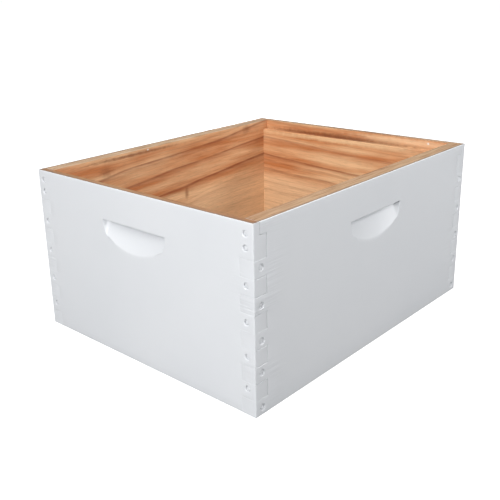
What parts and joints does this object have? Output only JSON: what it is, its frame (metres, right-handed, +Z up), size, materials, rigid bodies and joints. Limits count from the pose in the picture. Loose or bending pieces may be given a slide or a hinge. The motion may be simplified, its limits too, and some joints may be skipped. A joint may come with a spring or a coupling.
{
  "type": "beehive body",
  "caption": "Open-ended deep hive body of finger-jointed boards, with rabbets inside the top edge to hang frames on and a handhold in every side.",
  "frame": {"origin": "centre of the box's footprint, on the ground", "axes": "+Z up; +Y along the long side towards the rear end board; +X across, towards the right side board"},
  "size_m": [0.4128, 0.508, 0.2445],
  "materials": {
    "board": "pine, painted white outside and left bare inside and on the rims",
    "nail": "galvanised steel, the set head painted over with the box"
  },
  "bodies": {
    "root": {"front_end_board": "board", "rear_end_board": "board", "left_side_board": "board", "right_side_board": "board", "end_nails_front_left": "nail", "end_nails_front_right": "nail", "end_nails_rear_left": "nail", "end_nails_rear_right": "nail", "side_nails_front_left": "nail", "side_nails_front_right": "nail", "side_nails_rear_left": "nail", "side_nails_rear_right": "nail"}
  },
  "joints": []
}
